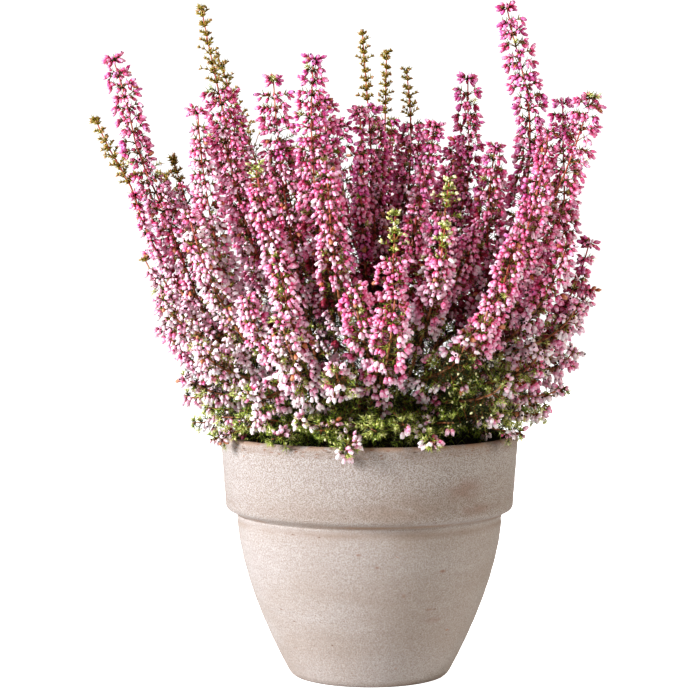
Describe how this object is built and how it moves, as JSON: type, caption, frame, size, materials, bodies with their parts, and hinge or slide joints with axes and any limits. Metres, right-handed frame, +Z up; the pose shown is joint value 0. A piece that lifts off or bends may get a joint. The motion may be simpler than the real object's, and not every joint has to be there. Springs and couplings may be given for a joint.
{
  "type": "potted cape heath",
  "caption": "Bushy cape heath in flower, with upright spikes of small pink and white bells, in a round collared clay pot.",
  "frame": {"origin": "the middle of the pot's flat underside", "axes": "+X to the right and +Y to the back as the picture shows the plant, +Z up along the pot's axis"},
  "size_m": [0.2703, 0.2334, 0.3597],
  "materials": {
    "clay": "matt, weathered",
    "compost": "moist, crumbly",
    "bark": "rough",
    "blossom": "soft, satin",
    "foliage": "satin"
  },
  "bodies": {
    "root": {"bough_east": "bark", "bough_east_southeast": "bark", "bough_inner_back": "bark", "bough_inner_left": "bark", "bough_inner_right": "bark", "bough_north": "bark", "bough_north_northwest": "bark", "bough_northeast": "bark", "bough_northwest": "bark", "bough_south": "bark", "bough_south_southwest": "bark", "bough_southeast": "bark", "bough_southwest": "bark", "bough_west": "bark", "compost": "compost", "pot": "clay", "skirt_east": "foliage", "skirt_east_southeast": "foliage", "skirt_north": "foliage", "skirt_north_northwest": "foliage", "skirt_northeast": "foliage", "skirt_northwest": "foliage", "skirt_south": "foliage", "skirt_south_southwest": "foliage", "skirt_southeast": "foliage", "skirt_southwest": "foliage", "skirt_west": "foliage", "spray_back": "blossom", "spray_back_east": "blossom", "spray_back_left": "blossom", "spray_back_right": "blossom", "spray_back_west": "blossom", "spray_centre": "blossom", "spray_centre_back": "blossom", "spray_centre_left": "blossom", "spray_centre_mid": "blossom", "spray_centre_right": "blossom", "spray_centre_tall": "blossom", "spray_front": "blossom", "spray_front_left": "blossom", "spray_front_right": "blossom", "spray_left_back": "blossom", "spray_left_behind": "blossom", "spray_left_far": "blossom", "spray_left_front": "blossom", "spray_left_low": "blossom", "spray_left_mid": "blossom", "spray_left_tall": "blossom", "spray_right_back": "blossom", "spray_right_centre": "blossom", "spray_right_edge": "blossom", "spray_right_far": "blossom", "spray_right_front": "blossom", "spray_right_low": "blossom", "spray_right_mid": "blossom", "spray_right_outer": "blossom", "spray_right_tall": "blossom", "spray_right_upright": "blossom", "stem": "bark"}
  },
  "joints": []
}
